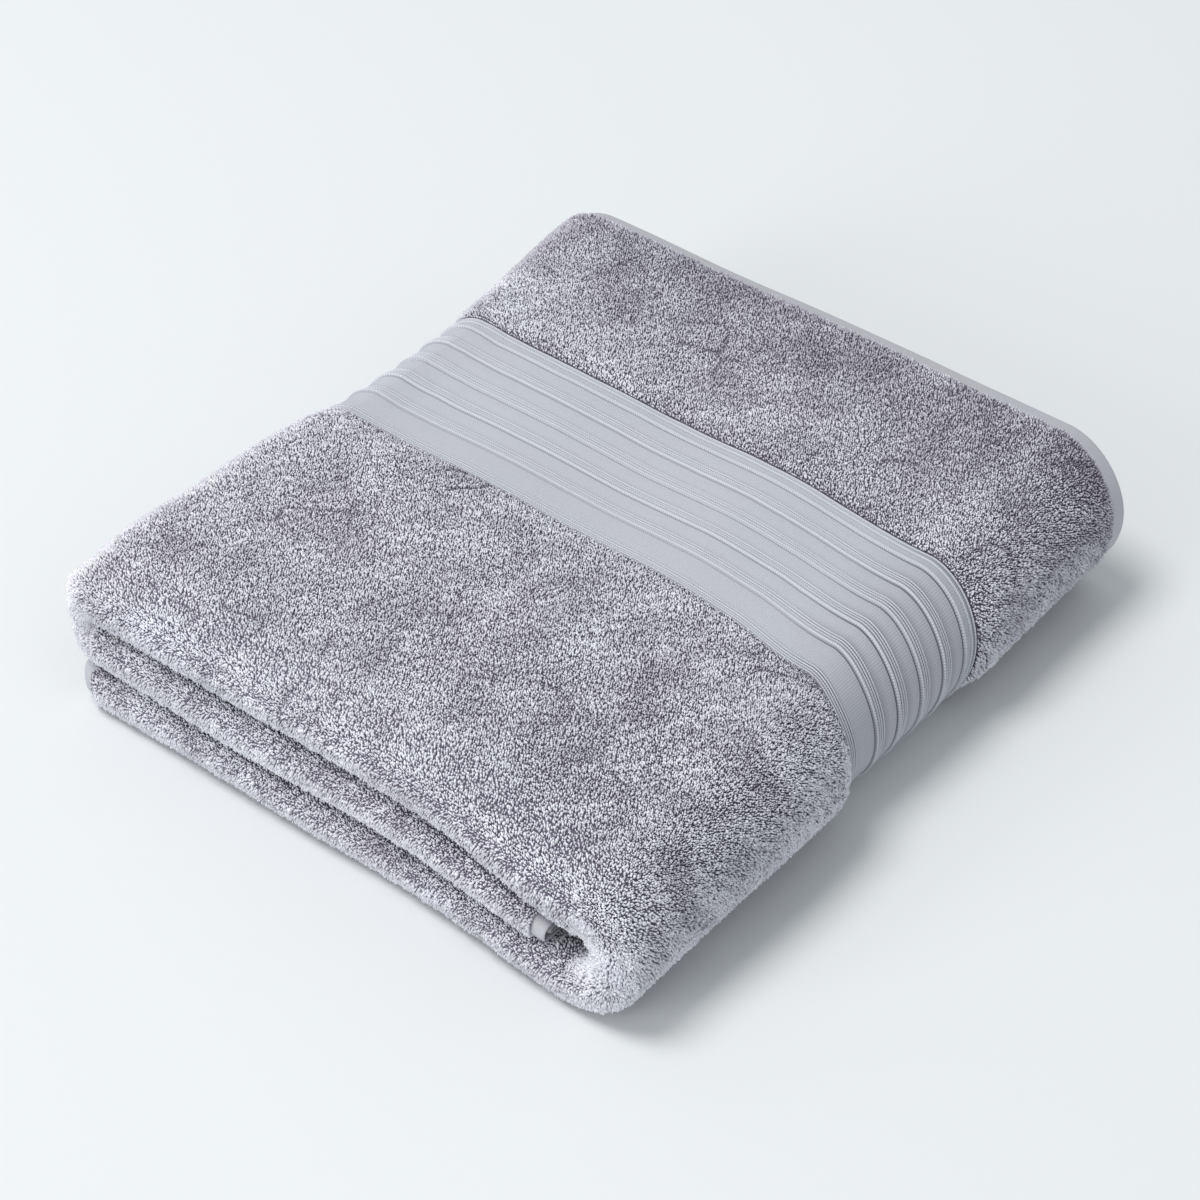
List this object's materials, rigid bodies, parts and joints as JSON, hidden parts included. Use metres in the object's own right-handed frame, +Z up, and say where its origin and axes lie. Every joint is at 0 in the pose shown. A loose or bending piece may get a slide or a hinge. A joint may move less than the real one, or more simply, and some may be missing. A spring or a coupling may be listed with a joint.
{
  "type": "folded bath towel",
  "caption": "Thick cotton terry bath sheet folded into a rectangular packet, with a flat ribbed border band, flat hems and rounded rolled folds.",
  "frame": {"origin": "middle of the footprint of the folded packet, on the surface that it rests on", "axes": "+X across the packet towards its wide turned side, +Y from the rolled fold end to the hemmed end, +Z up"},
  "size_m": [0.3398, 0.375, 0.0797],
  "materials": {
    "terry_pile": "dense cotton terry loops, silver grey with a mauve cast, soft and matt",
    "hem_tape": "flat plain-woven cotton, matt",
    "border_weave": "flat cotton border with fine ribs across it and a faint sheen",
    "border_ribs": "raised woven tucks and cords, faint sheen",
    "sewing_thread": "twisted sewing thread, matt"
  },
  "bodies": {
    "root": {"outer_end_pile": "terry_pile", "outer_main_pile": "terry_pile", "second_end_pile": "terry_pile", "second_main_pile": "terry_pile", "third_ply_pile": "terry_pile", "inner_ply_pile": "terry_pile", "front_outer_roll": "terry_pile", "front_inner_roll": "terry_pile", "back_fold_loop": "terry_pile", "outer_end_hem": "hem_tape", "second_end_hem": "hem_tape", "under_side_hem": "hem_tape", "middle_side_hem": "hem_tape", "outer_border_band": "border_weave", "second_border_band": "border_weave", "outer_border_tucks": "border_ribs", "outer_border_cords": "border_ribs", "second_border_tucks": "border_ribs", "second_border_cords": "border_ribs", "outer_hem_stitching": "sewing_thread", "second_hem_stitching": "sewing_thread", "under_hem_stitching": "sewing_thread", "middle_hem_stitching": "sewing_thread"}
  },
  "joints": []
}
